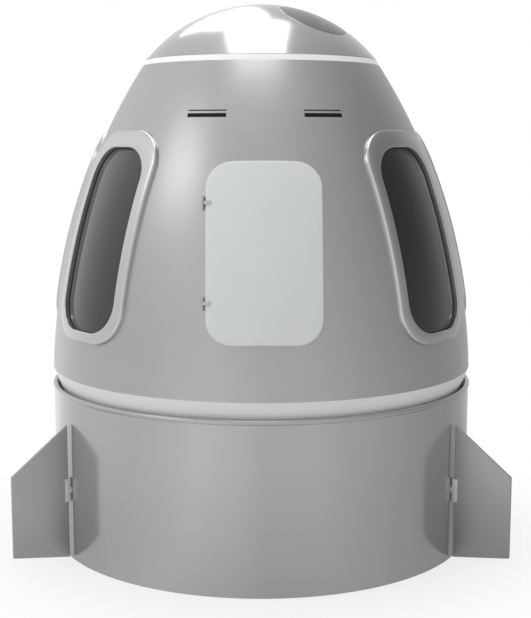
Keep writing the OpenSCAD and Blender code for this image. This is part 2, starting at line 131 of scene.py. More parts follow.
def outline(top_w, bottom_w, height, corner, rise=0.0):
    """Points round a panel with straight sides and round corners, always as many."""
    tilt = math.atan((bottom_w - top_w) / 2 / height)
    side = bottom_w / 2 * math.cos(tilt) - height / 2 * math.sin(tilt)
    cy = height / 2 - corner
    low_x = (side - corner + cy * math.sin(tilt)) / math.cos(tilt)
    top_x = (side - corner - cy * math.sin(tilt)) / math.cos(tilt)

    def arc(x, y, start, end):
        turns = [start + (end - start) * k / CORNER_STEPS for k in range(CORNER_STEPS + 1)]
        return [(x + corner * math.cos(t), y + corner * math.sin(t)) for t in turns]

    def between(a, b, steps):
        return [(a[0] + (b[0] - a[0]) * k / steps, a[1] + (b[1] - a[1]) * k / steps)
                for k in range(1, steps)]

    low = arc(low_x, -cy, -math.pi / 2, tilt)
    top = arc(top_x, cy, tilt, math.pi / 2)
    right = low + between(low[-1], top[0], SIDE_STEPS) + top
    left = [(-x, y) for x, y in reversed(right)]
    points = right + between(right[-1], left[0], END_STEPS) + left
    points += between(left[-1], right[0], END_STEPS)
    return [(x, y + rise) for x, y in points]


# ---------------------------------------------------------------- shader maths

class Value:
    """A socket of a material. Arithmetic on it adds Math nodes."""

    def __init__(self, tree, socket):
        self.tree = tree
        self.socket = socket

    def node(self, kind, settings=None, inputs=None, output=0):
        """Adds a node, sets it up, feeds its sockets, and gives one of its outputs."""
        made = self.tree.nodes.new(kind)
        for name, value in (settings or {}).items():
            if name == "stops":
                ramp = made.color_ramp.elements
                while len(ramp) < len(value):
                    ramp.new(1.0)
                for element, (place, level) in zip(ramp, value):
                    element.position = place
                    element.color = (level, level, level, 1.0)
            else:
                setattr(made, name, value)
        for name, value in (inputs or {}).items():
            if isinstance(value, Value):
                self.tree.links.new(value.socket, made.inputs[name])
            else:
                made.inputs[name].default_value = value
        return Value(self.tree, made.outputs[output])

    def maths(self, operation, first, second):
        return self.node("ShaderNodeMath", {"operation": operation}, {0: first, 1: second})

    def __add__(self, other):
        return self.maths("ADD", self, other)

    def __sub__(self, other):
        return self.maths("SUBTRACT", self, other)

    def __rsub__(self, other):
        return self.maths("SUBTRACT", other, self)

    def __mul__(self, other):
        return self.maths("MULTIPLY", self, other)

    def __truediv__(self, other):
        return self.maths("DIVIDE", self, other)

    def __rtruediv__(self, other):
        return self.maths("DIVIDE", other, self)

    __radd__ = __add__
    __rmul__ = __mul__


def srgb(*levels):
    """A linear colour from display levels between 0 and 1."""
    if len(levels) == 1:
        levels = levels * 3
    return tuple(v / 12.92 if v <= 0.04045 else ((v + 0.055) / 1.055) ** 2.4
                 for v in levels) + (1.0,)


def material(name, build, **constants):
    """A Principled material: constants on its own sockets, and what build(place) feeds."""
    made = bpy.data.materials.new(name)
    made.use_nodes = True
    tree = made.node_tree
    shader = tree.nodes["Principled BSDF"]
    for key, value in constants.items():
        shader.inputs[key.replace("_", " ")].default_value = value
    place = Value(tree, tree.nodes.new("ShaderNodeTexCoord").outputs["Object"])
    for key, value in build(place).items():
        tree.links.new(value.socket, shader.inputs[key])
    return made


def noise(place, scale, detail=2.0, stretch=None):
    if stretch:
        place = place.node("ShaderNodeMapping", None, {"Vector": place, "Scale": stretch})
    return place.node("ShaderNodeTexNoise", None,
                      {"Vector": place, "Scale": scale, "Detail": detail})


def ramp(factor, stops):
    return factor.node("ShaderNodeValToRGB", {"stops": stops}, {0: factor})


def colours(factor, low, high):
    return factor.node("ShaderNodeMix", {"data_type": "RGBA"},
                       {0: factor, 6: low, 7: high}, 2)


def bump(height, strength, distance):
    return height.node("ShaderNodeBump", None,
                       {"Height": height, "Strength": strength, "Distance": distance})


SCUFF_SCALE, GRAIN_SCALE, GRAIN_DEPTH, GLOSS_DRIFT = 9.0, 220.0, 0.0003, 0.05


def satin(name, low, high, rough, metallic=1.0, grain=0.12, scale=1.6, **constants):
    """Satin metal or paint: soft clouds in its colour and gloss, and a fine grain."""
    def build(place):
        clouds = noise(place, scale, 5.0)
        scuffs = noise(place, SCUFF_SCALE, 6.0, (1.0, 1.0, 0.35))
        fine = noise(place, GRAIN_SCALE, 1.0)
        return {"Base Color": colours(clouds * 0.7 + scuffs * 0.3, low, high),
                "Roughness": clouds * GLOSS_DRIFT + scuffs * GLOSS_DRIFT + (rough - GLOSS_DRIFT),
                "Normal": bump(fine, grain, GRAIN_DEPTH)}
    return material(name, build, Metallic=metallic, **constants)


# ---------------------------------------------------------------- finishes

shell_metal = satin("shell_metal", srgb(0.68), srgb(0.71), 0.33, 0.75)
skirt_metal = satin("skirt_metal", srgb(0.68), srgb(0.71), 0.17, 0.62, scale=1.2)
dome_metal = satin("dome_metal", srgb(0.75), srgb(0.79), 0.18)
frame_metal = satin("frame_metal", srgb(0.75), srgb(0.79), 0.24)
fin_metal = satin("fin_metal", srgb(0.63), srgb(0.67), 0.38, 0.8)
pivot_metal = satin("pivot_metal", srgb(0.78), srgb(0.82), 0.38, 0.5)
cover_metal = satin("cover_metal", srgb(0.52), srgb(0.55), 0.22)
structure_metal = satin("structure_metal", srgb(0.60, 0.61, 0.62), srgb(0.68, 0.69, 0.70), 0.4)
hinge_metal = satin("hinge_metal", srgb(0.68), srgb(0.74), 0.3)
handle_paint = satin("handle_paint", srgb(0.22), srgb(0.27), 0.4, 0.0)
hatch_paint = satin("hatch_paint", srgb(0.85, 0.865, 0.85), srgb(0.88, 0.895, 0.88), 0.48, 0.0)
band_paint = satin("band_paint", srgb(0.915, 0.915, 0.91), srgb(0.945, 0.945, 0.94), 0.4, 0.0)
ring_paint = satin("ring_paint", srgb(0.97), srgb(0.985), 0.3, 0.0)
stripe_paint = satin("stripe_paint", srgb(0.01), srgb(0.03), 0.6, 0.0, Specular_IOR_Level=0.2)
trim_plastic = satin("trim_plastic", srgb(0.72, 0.72, 0.71), srgb(0.77, 0.77, 0.76), 0.5, 0.0,
                     grain=0.4)
shell_plastic = satin("seat_shell", srgb(0.24, 0.25, 0.27), srgb(0.30, 0.31, 0.33), 0.42, 0.0)
rubber = satin("seal_rubber", srgb(0.07), srgb(0.11), 0.6, 0.0, grain=0.5)
lamp_plastic = satin("lamp_plastic", srgb(0.93, 0.93, 0.92), srgb(0.96, 0.96, 0.95), 0.5, 0.0,
                     Emission_Color=srgb(1.0, 0.99, 0.97), Emission_Strength=7.0)
webbing = satin("webbing", srgb(0.30, 0.33, 0.38), srgb(0.38, 0.41, 0.46), 0.8, 0.0, grain=1.0)


def glass_build(place):
    clouds = noise(place, 1.3, 3.0)
    return {"Base Color": colours(clouds, srgb(0.09), srgb(0.12)),
            "Roughness": clouds * 0.03 + 0.04,
            "Normal": bump(noise(place, 2.5, 1.0), 0.06, 0.01)}


window_glass = material("window_glass", glass_build, Alpha=0.98, Coat_Weight=0.5)


def leather_build(place):
    folds = noise(place, 14.0, 4.0)
    pores = place.node("ShaderNodeTexVoronoi", {"feature": "DISTANCE_TO_EDGE"},
                       {"Vector": place, "Scale": 330.0})
    return {"Base Color": colours(folds, srgb(0.17, 0.19, 0.23), srgb(0.23, 0.25, 0.30)),
            "Roughness": folds * 0.2 + 0.4,
            "Normal": bump(pores * 0.6 + folds * 0.4, 0.35, 0.001)}


leather = material("leather", leather_build)


def ablator_build(place):
    soot = noise(place, 3.0, 6.0)
    fibres = noise(place, 60.0, 4.0)
    return {"Base Color": colours(soot, srgb(0.20, 0.17, 0.15), srgb(0.36, 0.32, 0.28)),
            "Roughness": fibres * 0.2 + 0.7,
            "Normal": bump(fibres, 0.5, 0.002)}


ablator = material("ablator", ablator_build)


MOTOR_FOOT_Z = 0.98


def motor_build(place):
    height = place.node("ShaderNodeSeparateXYZ", None, {0: place}, 2)
    heat = ramp((height - MOTOR_FOOT_Z) * 6.0, ((0.2, 0.1), (0.8, 1.0)))
    clouds = noise(place, 20.0, 4.0)
    return {"Base Color": colours(heat * 0.8 + clouds * 0.2, srgb(0.20, 0.19, 0.24),
                                  srgb(0.50, 0.47, 0.44)),
            "Roughness": clouds * 0.2 + 0.25,
            "Normal": bump(clouds, 0.1, 0.001)}


motor_metal = material("motor_metal", motor_build, Metallic=1.0)

FINISHES = {
    "skirt_shell": skirt_metal, "skirt_base_ring": structure_metal,
    "skirt_seat_ring": structure_metal, "skirt_stringers": structure_metal,
    "heat_shield": ablator, "retro_motors": motor_metal, "base_band": band_paint,
    "cabin_floor": trim_plastic, "cabin_shell": shell_metal, "doorway_frame": structure_metal,
    "upper_bulkhead": trim_plastic, "nose_ring": ring_paint, "nose_dome": dome_metal,
    "drogue_cover": cover_metal, "centre_column": trim_plastic,
    "window_frame": frame_metal, "window_glass": window_glass, "seat": leather,
    "fin_bearing": structure_metal, "fin_pivot": pivot_metal, "fin": fin_metal,
    "hatch_hinge_brackets": hinge_metal, "hatch_hinge_arms": hinge_metal,
    "side_hatch": hatch_paint, "hatch_handle": handle_paint,
}
for name, cad_node in NODES.items():
    kind = name.rstrip("0123456789").rstrip("_")
    cad_node.data.materials.clear()
    cad_node.data.materials.append(FINISHES[kind])


# ---------------------------------------------------------------- modelling

def pick(*pieces):
    """Selects these pieces and nothing else, the first of them active."""
    if bpy.context.mode != "OBJECT":
        bpy.ops.object.mode_set(mode="OBJECT")
    bpy.ops.object.select_all(action="DESELECT")
    for piece in pieces:
        piece.select_set(True)
    if pieces:
        bpy.context.view_layer.objects.active = pieces[0]


def begin(name, primitive, **sizes):
    """A fresh primitive, alone in the selection."""
    pick()
    primitive(**sizes)
    piece = bpy.context.object
    piece.name = piece.data.name = name
    return piece


def fresh(piece):
    """The mesh being edited, read again with its points numbered."""
    mesh = bmesh.from_edit_mesh(piece.data)
    mesh.verts.ensure_lookup_table()
    mesh.verts.index_update()
    return mesh


def edit_mesh(piece):
    """The mesh of the piece in edit mode, with nothing selected."""
    bpy.ops.object.mode_set(mode="EDIT")
    bpy.ops.mesh.select_all(action="DESELECT")
    return fresh(piece)


def select_verts(piece, mesh, indices):
    """Selects these points and the edges between them."""
    chosen = set(indices)
    for vert in mesh.verts:
        vert.select = vert.index in chosen
    for edge in mesh.edges:
        edge.select = edge.verts[0].index in chosen and edge.verts[1].index in chosen
    bmesh.update_edit_mesh(piece.data)


def loft(name, loops, ends=False, ring=False):
    """A skin through loops of as many points: a circle's points are placed on the first,
    and each next loop is extruded from the last. Its ends are filled, or it closes."""
    count = len(loops[0])
    piece = begin(name, bpy.ops.mesh.primitive_circle_add, vertices=count)
    mesh = edit_mesh(piece)
    bpy.ops.mesh.select_mode(type="EDGE")
    last = list(range(count))
    first = list(last)
    for index, point in zip(last, loops[0]):
        mesh.verts[index].co = point
    for loop in loops[1:]:
        old = len(mesh.verts)
        select_verts(piece, mesh, last)
        bpy.ops.mesh.extrude_edges_move()
        mesh = fresh(piece)
        grown = []
        for index, point in zip(last, loop):
            vert = mesh.verts[index]
            new = next(e.other_vert(vert) for e in vert.link_edges
                       if e.other_vert(vert).index >= old)
            new.co = point
            grown.append(new.index)
        last = grown
    if ends:
        for loop in (first, last):
            select_verts(piece, mesh, loop)
            bpy.ops.mesh.edge_face_add()
            bpy.ops.mesh.quads_convert_to_tris(ngon_method="BEAUTY")
            mesh = fresh(piece)
    if ring:
        select_verts(piece, mesh, first + last)
        bpy.ops.mesh.bridge_edge_loops()
    bpy.ops.mesh.select_mode(type="VERT")
    bpy.ops.object.mode_set(mode="OBJECT")
    return piece


def rounding(radius, steps, flip=False):
    """Pairs of distance in from a side and drop from a face, round an edge to the side."""
    turns = [math.pi / 2 * k / steps for k in range(steps + 1)]
    pairs = [(radius * (1 - math.sin(t)), radius * (1 - math.cos(t))) for t in turns]
    return pairs[::-1] if flip else pairs


def block(name, corners, radius, steps=3):
    """A box with its eight corners placed (low x first, then y, then z) and round edges."""
    piece = begin(name, bpy.ops.mesh.primitive_cube_add, size=2)
    mesh = edit_mesh(piece)
    for vert in mesh.verts:
        place = (vert.co.x > 0) * 4 + (vert.co.y > 0) * 2 + (vert.co.z > 0)
        vert.co = corners[place]
    bmesh.update_edit_mesh(piece.data)
    bpy.ops.mesh.select_all(action="SELECT")
    bpy.ops.mesh.bevel(offset=radius, segments=steps, affect="EDGES")
    bpy.ops.object.mode_set(mode="OBJECT")
    return piece


def box_corners(x, y, z):
    return [Vector((a, b, c)) for a in x for b in y for c in z]


def round_turns(steps):
    return [2 * math.pi * k / steps for k in range(steps)]


def tube(name, path, radius, sides=10, closed=False):
    """A round bar along points, its sections square to it."""
    count = len(path)
    points = [Vector(p) for p in path]
    loops = []
    side = None
    for k, point in enumerate(points):
        before = points[k - 1] if closed or k else point
        after = points[(k + 1) % count] if closed or k < count - 1 else point
        along = (after - before).normalized()
        if side is None:
            side = along.orthogonal().normalized()
        side = (side - along * side.dot(along)).normalized()
        up = along.cross(side)
        loops.append([point + side * math.cos(t) * radius + up * math.sin(t) * radius
                      for t in round_turns(sides)])
    return loft(name, loops, ends=not closed, ring=closed)


def joined(name, pieces):
    """Several meshes made one piece."""
    pick(*pieces)
    bpy.ops.object.join()
    pieces[0].name = pieces[0].data.name = name
    return pieces[0]


def clean(piece, smooth=35.0):
    """Closes the mesh's doubles, turns its faces out and smooths it up to an angle."""
    pick(piece)
    bpy.ops.object.transform_apply(location=True, rotation=True, scale=True)
    bpy.ops.object.mode_set(mode="EDIT")
    bpy.ops.mesh.select_all(action="SELECT")
    bpy.ops.mesh.remove_doubles(threshold=0.00002)
    bpy.ops.mesh.normals_make_consistent(inside=False)
    bpy.ops.object.mode_set(mode="OBJECT")
    bpy.ops.object.shade_smooth_by_angle(angle=math.radians(smooth))
    return piece


def fit(piece, look, body="root", replaced=()):
    """Gives a piece its finish, its body and the nodes that it stands for."""
    piece.data.materials.clear()
    piece.data.materials.append(look)
    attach(piece, body)
    if replaced:
        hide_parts(*replaced)
    return piece


def copied(piece, name, move):
    """A copy with its own mesh, moved by a matrix."""
    made = piece.copy()
    made.data = piece.data.copy()
    made.name = made.data.name = name
    scene.collection.objects.link(made)
    made.data.transform(move)
    return made


def turned(degrees):
    return Matrix.Rotation(math.radians(degrees), 4, "Z")


# ---------------------------------------------------------------- windows

def window_loop(sides, head, sill, corner, out):
    flat = outline(WINDOW_TOP_W + 2 * sides[0], WINDOW_BOTTOM_W + 2 * sides[1],
                   WINDOW_H + head + sill, corner, (head - sill) / 2)
    return [on_wall(WINDOW_FIRST_AZ, WINDOW_A, x, y, out) for x, y in flat]


def glass_loop(grow, out):
    return window_loop((grow, grow), grow, grow, WINDOW_CORNER + grow, out)


def frame_loop(shrink, out):
    sides = [side - shrink for side in FRAME_SIDES]
    return window_loop(sides, FRAME_HEAD - shrink, FRAME_SILL - shrink,
                       FRAME_CORNER - shrink, out)


SUNK = 0.004
loops = [glass_loop(0, -WALL_T)]
loops += [glass_loop(inward, FRAME_PROUD - drop) for inward, drop in rounding(0.009, 3, True)]
loops += [frame_loop(inward, FRAME_PROUD - drop) for inward, drop in rounding(0.015, 5)]
loops += [frame_loop(0, -SUNK), glass_loop(NECK_W, -SUNK), glass_loop(NECK_W, -WALL_T)]
surround = clean(loft("window_surround", loops, ring=True))

# A black rubber seal ring round the glass, and painted shade as well: its dark ring stands in
# for the shaded line where the glass meets the opening's inner wall.
GASKET_W, GASKET_UP = 0.008, 0.004
loops = [glass_loop(-inward, out - GLASS_DEPTH) for inward, out in
         ((-0.0002, -0.004), (-0.0002, GASKET_UP), (0.003, GASKET_UP + 0.0012),
          (GASKET_W - 0.002, GASKET_UP), (GASKET_W, 0.001), (GASKET_W, -0.004))]
seal_and_shade = clean(loft("window_seal_and_shade", loops, ring=True))

for i in range(WINDOW_N):
    turn = turned(WINDOW_PITCH * i)
    fit(copied(surround, f"window_surround_{i + 1}", turn), frame_metal,
        replaced=(f"window_frame_{i + 1}",))
    fit(copied(seal_and_shade, f"window_seal_and_shade_{i + 1}", turn), rubber)
for mould in (surround, seal_and_shade):
    bpy.data.objects.remove(mould)


# ---------------------------------------------------------------- side hatch

def hatch_loop(shrink, out):
    corner = max(HATCH_CORNER - shrink, 0.012)
    flat = outline(HATCH_W - 2 * shrink, HATCH_W - 2 * shrink, HATCH_H - 2 * shrink, corner)
    return [on_wall(HATCH_AZ, HATCH_A, x, y, out) for x, y in flat]


FACE, PANEL_ROUND = LIP_GAP + LIP_T, 0.008
INSETS = (0.470, 0.43, 0.38, 0.32, 0.26, 0.20, 0.15, 0.10, 0.06, 0.03)
RECESS_IN, RECESS_D = 0.09, 0.008
loops = [hatch_loop(inset, FACE) for inset in INSETS]
loops += [hatch_loop(inward, FACE - drop) for inward, drop in rounding(PANEL_ROUND, 4)]
loops += [hatch_loop(0, LIP_GAP + 0.001), hatch_loop(0.001, LIP_GAP), hatch_loop(LIP_W, LIP_GAP)]
loops += [hatch_loop(LIP_W + inward, drop - WALL_T)
          for inward, drop in rounding(PANEL_ROUND, 3, True)]
loops += [hatch_loop(RECESS_IN, -WALL_T), hatch_loop(RECESS_IN + 0.004, RECESS_D - WALL_T)]
loops += [hatch_loop(inset, RECESS_D - WALL_T) for inset in INSETS[6::-1]]
fit(clean(loft("hatch_panel", loops, ends=True)), hatch_paint, "hatch",
    ("side_hatch",))

ROD_OUT, ROD_R, ROD_STEPS = -WALL_T - 0.016, 0.011, 8
GUIDE = ((-0.03, 0.03), (-0.02, 0.02), (-0.03, 0.03))
rods = []
ROD_RUNS = ((0.0, 0.03, 0.0, 0.69), (0.0, -0.03, 0.0, -0.69),
            (0.03, 0.0, 0.41, 0.0), (-0.03, 0.0, -0.41, 0.0))
for x0, y0, x1, y1 in ROD_RUNS:
    path = [on_wall(HATCH_AZ, HATCH_A, x0 + (x1 - x0) * k / ROD_STEPS,
                    y0 + (y1 - y0) * k / ROD_STEPS, ROD_OUT) for k in range(ROD_STEPS + 1)]
    rods.append(tube("latch_rod", path, ROD_R))
GUIDE_PLACES = ((0.0, 0.60), (0.0, -0.60), (0.34, 0.0), (-0.34, 0.0))
for x, y in GUIDE_PLACES:
    centre = on_wall(HATCH_AZ, HATCH_A, x, y, ROD_OUT + 0.002)
    rods.append(block("latch_guide", [centre + v for v in box_corners(*GUIDE)], 0.006, 2))
fit(clean(joined("latch_rods", rods)), hinge_metal, "hatch")


# ---------------------------------------------------------------- painted bars

BARS = ((4.0360, 4.0450), (3.9840, 4.0160))
BAR_ENDS = ((-26.8, -12.3), (15.2, 29.6))
PAINT_T, BAR_STEPS = 0.0012, 24
bars = []
for low, high in BARS:
    for start, end in BAR_ENDS:
        section = ((low, -PAINT_T), (low, PAINT_T), (high, PAINT_T), (high, -PAINT_T))
        loops = [[ring_point(skin_r(z, out), start + (end - start) * k / BAR_STEPS, z)
                  for z, out in section] for k in range(BAR_STEPS + 1)]
        bars.append(loft("bar", loops, ends=True))
fit(clean(joined("wall_bars", bars)), stripe_paint)


# ---------------------------------------------------------------- nose

DOME_R = (DOME_BASE_R ** 2 + DOME_H ** 2) / (2 * DOME_H)
dome_centre = Vector((0, 0, DOME_TOP - DOME_R))
to_cover = (Matrix.Translation(dome_centre) @ turned(COVER_AZ)
            @ Matrix.Rotation(math.radians(COVER_POLAR), 4, "X"))


def dome_loop(radius, out, steps=96):
    up = math.sqrt(DOME_R ** 2 - radius ** 2)
    flat = [Vector((radius * math.cos(t), radius * math.sin(t), up)) for t in round_turns(steps)]
    return [to_cover @ (point * (DOME_R + out) / DOME_R) for point in flat]


COVER_R, COVER_GAP, DOME_T = COVER_D / 2, 0.001, 0.04
loops = [dome_loop(COVER_R * part, 0.0) for part in (0.03, 0.2, 0.4, 0.6, 0.75, 0.88)]
loops += [dome_loop(COVER_R - COVER_GAP - inward, -drop)
          for inward, drop in rounding(0.006, 4)]
loops += [dome_loop(COVER_R - COVER_GAP, -DOME_T)]
loops += [dome_loop(COVER_R * part, -DOME_T) for part in (0.88, 0.6, 0.3, 0.03)]
fit(clean(loft("chute_cover", loops, ends=True)), cover_metal,
    replaced=("drogue_cover",))


# ---------------------------------------------------------------- fins

FIN_INWARD, PIVOT_LAP = 0.01, 0.026
fin_corners = []
for radius, heights in ((FIN_ROOT_R - FIN_INWARD, FIN_ROOT), (FIN_ROOT_R + FIN_REACH, FIN_TIP)):
    for y in (-FIN_T / 2, FIN_T / 2):
        fin_corners += [Vector((radius, y, z)) for z in heights]
fin = clean(block("fin", fin_corners, 0.007, 3))

pivot = block("pivot", box_corners((SHAFT_OUT_R, FIN_ROOT_R + PIVOT_LAP),
                                   (-PIVOT_W / 2, PIVOT_W / 2),
                                   (PIVOT_Z - PIVOT_H / 2, PIVOT_Z + PIVOT_H / 2)), 0.004, 3)
SHAFT_R, SHAFT_IN_R, SHAFT_SIDES, CAP_R, CAP_T = 0.04, 1.76, 32, 0.065, 0.016
stations = ((SHAFT_IN_R - CAP_T, CAP_R - 0.004), (SHAFT_IN_R - CAP_T + 0.004, CAP_R),
            (SHAFT_IN_R - 0.002, CAP_R), (SHAFT_IN_R, CAP_R - 0.002), (SHAFT_IN_R, SHAFT_R),
            (SHAFT_OUT_R + 0.002, SHAFT_R))
loops = [[Vector((x, r * math.cos(t), PIVOT_Z + r * math.sin(t)))
          for t in round_turns(SHAFT_SIDES)] for x, r in stations]
pivot = clean(joined("pivot", [pivot, loft("shaft", loops, ends=True)]))
for number, azimuth in enumerate(FIN_AZ, 1):
    turn = turned(azimuth - 90)
    body = f"fin_body_{number}"
    fit(copied(fin, f"fin_plate_{number}", turn), fin_metal, body,
        (f"fin_{number}",))
    fit(copied(pivot, f"fin_hub_{number}", turn), pivot_metal, body,
        (f"fin_pivot_{number}",))
for mould in (fin, pivot):
    bpy.data.objects.remove(mould)


# ---------------------------------------------------------------- inside the cabin

CEILING_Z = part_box("upper_bulkhead")[0].z
RIB_FIRST_AZ, RIB_N, RIB_STEPS = 26, 7, 24
RIB_W, RIB_D, RIB_R, RIB_GAP = 0.07, 0.04, 0.010, 0.004
rib_section = [(-RIB_W / 2, -0.003)]
rib_section += [(-RIB_W / 2 + RIB_R * (1 - math.cos(t)), RIB_D - RIB_R * (1 - math.sin(t)))
                for t in (math.pi / 2 * k / 3 for k in range(4))]
rib_section += [(-x, depth) for x, depth in reversed(rib_section)]
ribs = []
for i in range(RIB_N):
    turn = turned(RIB_FIRST_AZ + (360 - 2 * RIB_FIRST_AZ) * i / (RIB_N - 1))
    loops = []
    for k in range(RIB_STEPS + 1):
        z = FLOOR_Z + RIB_GAP + (CEILING_Z - FLOOR_Z - 2 * RIB_GAP) * k / RIB_STEPS
        loops.append([turn @ Vector((x, -skin_r(z, -WALL_T - depth), z))
                      for x, depth in rib_section])
    ribs.append(loft("rib", loops, ends=True))
fit(clean(joined("wall_ribs", ribs)), trim_plastic)

COLUMN_R, SIXTH = 0.33, 60
COLUMN_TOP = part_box("centre_column")[1].z
DOOR_W, DOOR_H, DOOR_CORNER, DOOR_Z, DOOR_T = 0.27, 0.86, 0.04, FLOOR_Z + 0.58, 0.008


def column_loop(shrink, out):
    flat = outline(DOOR_W - 2 * shrink, DOOR_W - 2 * shrink, DOOR_H - 2 * shrink,
                   max(DOOR_CORNER - shrink, 0.004))
    return [ring_point(COLUMN_R + out, math.degrees(x / COLUMN_R), DOOR_Z + y)
            for x, y in flat]


loops = [column_loop(0, -0.002)]
loops += [column_loop(inward, DOOR_T - drop) for inward, drop in rounding(0.006, 3, True)]
loops += [column_loop(inset, DOOR_T) for inset in (0.03, 0.06, 0.09, 0.12, 0.13)]
door = clean(loft("locker_door", loops, ends=True))
PULL_AZ = 14.5
PULL_PATH = ((0.004, 0.66), (0.024, 0.665), (0.03, 0.68), (0.03, 0.78), (0.024, 0.795),
             (0.004, 0.80))
pull = clean(tube("locker_pull", [ring_point(COLUMN_R + out, PULL_AZ, FLOOR_Z + z)
                                  for out, z in PULL_PATH], 0.006, 8))
doors, pulls = [[copied(mould, mould.name, turned(SIXTH * k)) for k in range(6)]
                for mould in (door, pull)]
for mould in (door, pull):
    bpy.data.objects.remove(mould)
fit(joined("locker_doors", doors), shell_plastic)

RAIL_R, RAIL_Z, POST_IN_R = 0.385, FLOOR_Z + 1.09, 0.328
rail = [tube("rail", [ring_point(RAIL_R, 5 * k, RAIL_Z) for k in range(72)], 0.013, 12,
             closed=True)]
for k in range(6):
    for label, end, radius, sides in (("post", RAIL_R, 0.009, 10), ("foot", 0.336, 0.022, 16)):
        rail.append(tube(label, [ring_point(r, SIXTH * (k + 0.5), RAIL_Z)
                                 for r in (POST_IN_R, end)], radius, sides))
fit(clean(joined("column_rail", rail + pulls)), hinge_metal)

loops = [[ring_point(r, 3.75 * k, COLUMN_TOP + up) for k in range(96)] for r, up in
         ((COLUMN_R - 0.004, -0.03), (COLUMN_R + 0.006, -0.03), (COLUMN_R + 0.012, -0.024),
          (COLUMN_R + 0.012, 0.006), (COLUMN_R + 0.006, 0.012), (0.29, 0.012), (0.28, 0.004),
          (0.15, 0.004), (0.145, 0.03), (0.135, 0.045), (0.08, 0.06), (0.02, 0.065))]
fit(clean(loft("column_top", loops, ends=True)), shell_plastic)


def deck_plate(inner, outer, start, end, low, high, bevel=0.002, steps=10):
    """A plate between two radii and two azimuths, with a small chamfer round its top."""
    def loop(shrink, z):
        a0 = start + math.degrees(shrink / inner)
        a1 = end - math.degrees(shrink / inner)
        b0 = start + math.degrees(shrink / outer)
        b1 = end - math.degrees(shrink / outer)
        near = [ring_point(inner + shrink, a0 + (a1 - a0) * k / steps, z)
                for k in range(steps + 1)]
        far = [ring_point(outer - shrink, b0 + (b1 - b0) * k / steps, z)
               for k in range(steps + 1)]
        return near + far[::-1]
    return loft("plate", [loop(0, low), loop(0, high - bevel), loop(bevel, high)], ends=True)


deck = []
for k in range(6):
    for inner, outer, offset in ((0.37, 0.72, 0.5), (1.36, 1.72, 15.5)):
        start = SIXTH * k + offset
        deck.append(deck_plate(inner, outer, start, start + SIXTH - 1, FLOOR_Z - 0.002,
                               FLOOR_Z + 0.005))
fit(clean(joined("deck_mats", deck)), rubber)

loops = [[ring_point(r, 5 * k, CEILING_Z + up) for k in range(72)] for r, up in
         ((0.40, 0.001), (0.40, -0.020), (0.406, -0.026), (0.794, -0.026), (0.80, -0.020),
          (0.80, 0.001))]
fit(clean(loft("ceiling_lamp", loops, ring=True)), lamp_plastic)


# ---------------------------------------------------------------- seats

SEAT_HALF_W, PAN_L, PAN_Z, BACK_LEAN = 0.25, 0.54, 0.33, math.radians(18)
PAD_HALF_W, PAD_EDGE = 0.228, 0.018
PAN_PAD, PAN_PAD_L = (0.06, 0.112), 0.41
BACK_PAD, BACK_PAD_L, BACK_PAD_UP = (0.05, 0.112), 0.80, 0.045
SEAM_X, SEAM_HALF_W, SEAM_D, SEAM_REACH, PINNED_FOOT = 0.135, 0.004, 0.008, 0.21, 0.012


def seat_point(x, y, z):
    return Vector((x, y - SEAT_R, FLOOR_Z + z))


def back_point(x, up, out):
    """A place on the leaning back: up along it, and out from its rear face."""
    y = PAN_L / 2 + up * math.sin(BACK_LEAN) - out * math.cos(BACK_LEAN)
    z = PAN_Z + up * math.cos(BACK_LEAN) + out * math.sin(BACK_LEAN)
    return seat_point(x, y, z)


def seat_block(name, x, y, z, radius, place=seat_point, steps=3):
    return block(name, [place(a, b, c) for a in x for b in y for c in z], radius, steps)


def pad_mould(name, half_w, length, low, high, corner, place):
    """A thin cushion's starting shape: straight sides, round corners and round edges."""
    def loop(shrink, out):
        flat = outline(2 * (half_w - shrink), 2 * (half_w - shrink), length - 2 * shrink,
                       corner - shrink, length / 2)
        return [place(x, up, out) for x, up in flat]
    loops = [loop(inward, low + drop) for inward, drop in rounding(PAD_EDGE, 4)]
    loops += [loop(inward, high - drop) for inward, drop in rounding(PAD_EDGE, 4, True)]
    return clean(loft(name, loops, ends=True))


def puffed(pad, seams, surface, cap=0.024, voxel=0.006, pressure=4.0, frames=20):
    """Remeshes the pad and lets cloth under pressure fill it between its pinned seams."""
    pad.data.remesh_voxel_size = voxel
    pick(pad)
    bpy.ops.object.voxel_remesh()
    start = [vert.co.copy() for vert in pad.data.vertices]
    pinned = [k for k, point in enumerate(start) if seams(*surface(point))]
    group = pad.vertex_groups.new(name="seams")
    group.add(pinned, 1.0, "REPLACE")
    cloth = pad.modifiers.new("Cloth", "CLOTH")
    cloth.settings.use_pressure = True
    cloth.settings.uniform_pressure_force = pressure
    cloth.settings.vertex_group_mass = "seams"
    cloth.settings.effector_weights.gravity = 0.0
    cloth.point_cache.frame_end = frames
    for frame_number in range(1, frames + 1):
        scene.frame_set(frame_number)
    moved = pad.evaluated_get(bpy.context.evaluated_depsgraph_get()).data
    ends = [vert.co.copy() for vert in moved.vertices]
    pad.modifiers.remove(cloth)
    scene.frame_set(1)
    for vert, old, new in zip(pad.data.vertices, start, ends):
        move = new - old
        if move.length > cap:
            move *= cap / move.length
        vert.co = old + move
    pad.vertex_groups.clear()
    pad.data.update()
    return pad


def pan_local(point):
    return point.x, point.y + SEAT_R + PAN_L / 2, point.z - FLOOR_Z - PAN_Z


def back_local(point):
    y = point.y + SEAT_R - PAN_L / 2
    z = point.z - FLOOR_Z - PAN_Z
    return (point.x, y * math.sin(BACK_LEAN) + z * math.cos(BACK_LEAN),
            z * math.sin(BACK_LEAN) - y * math.cos(BACK_LEAN))


def pan_place(x, up, out):
    return seat_point(x, up - PAN_L / 2, PAN_Z + out)


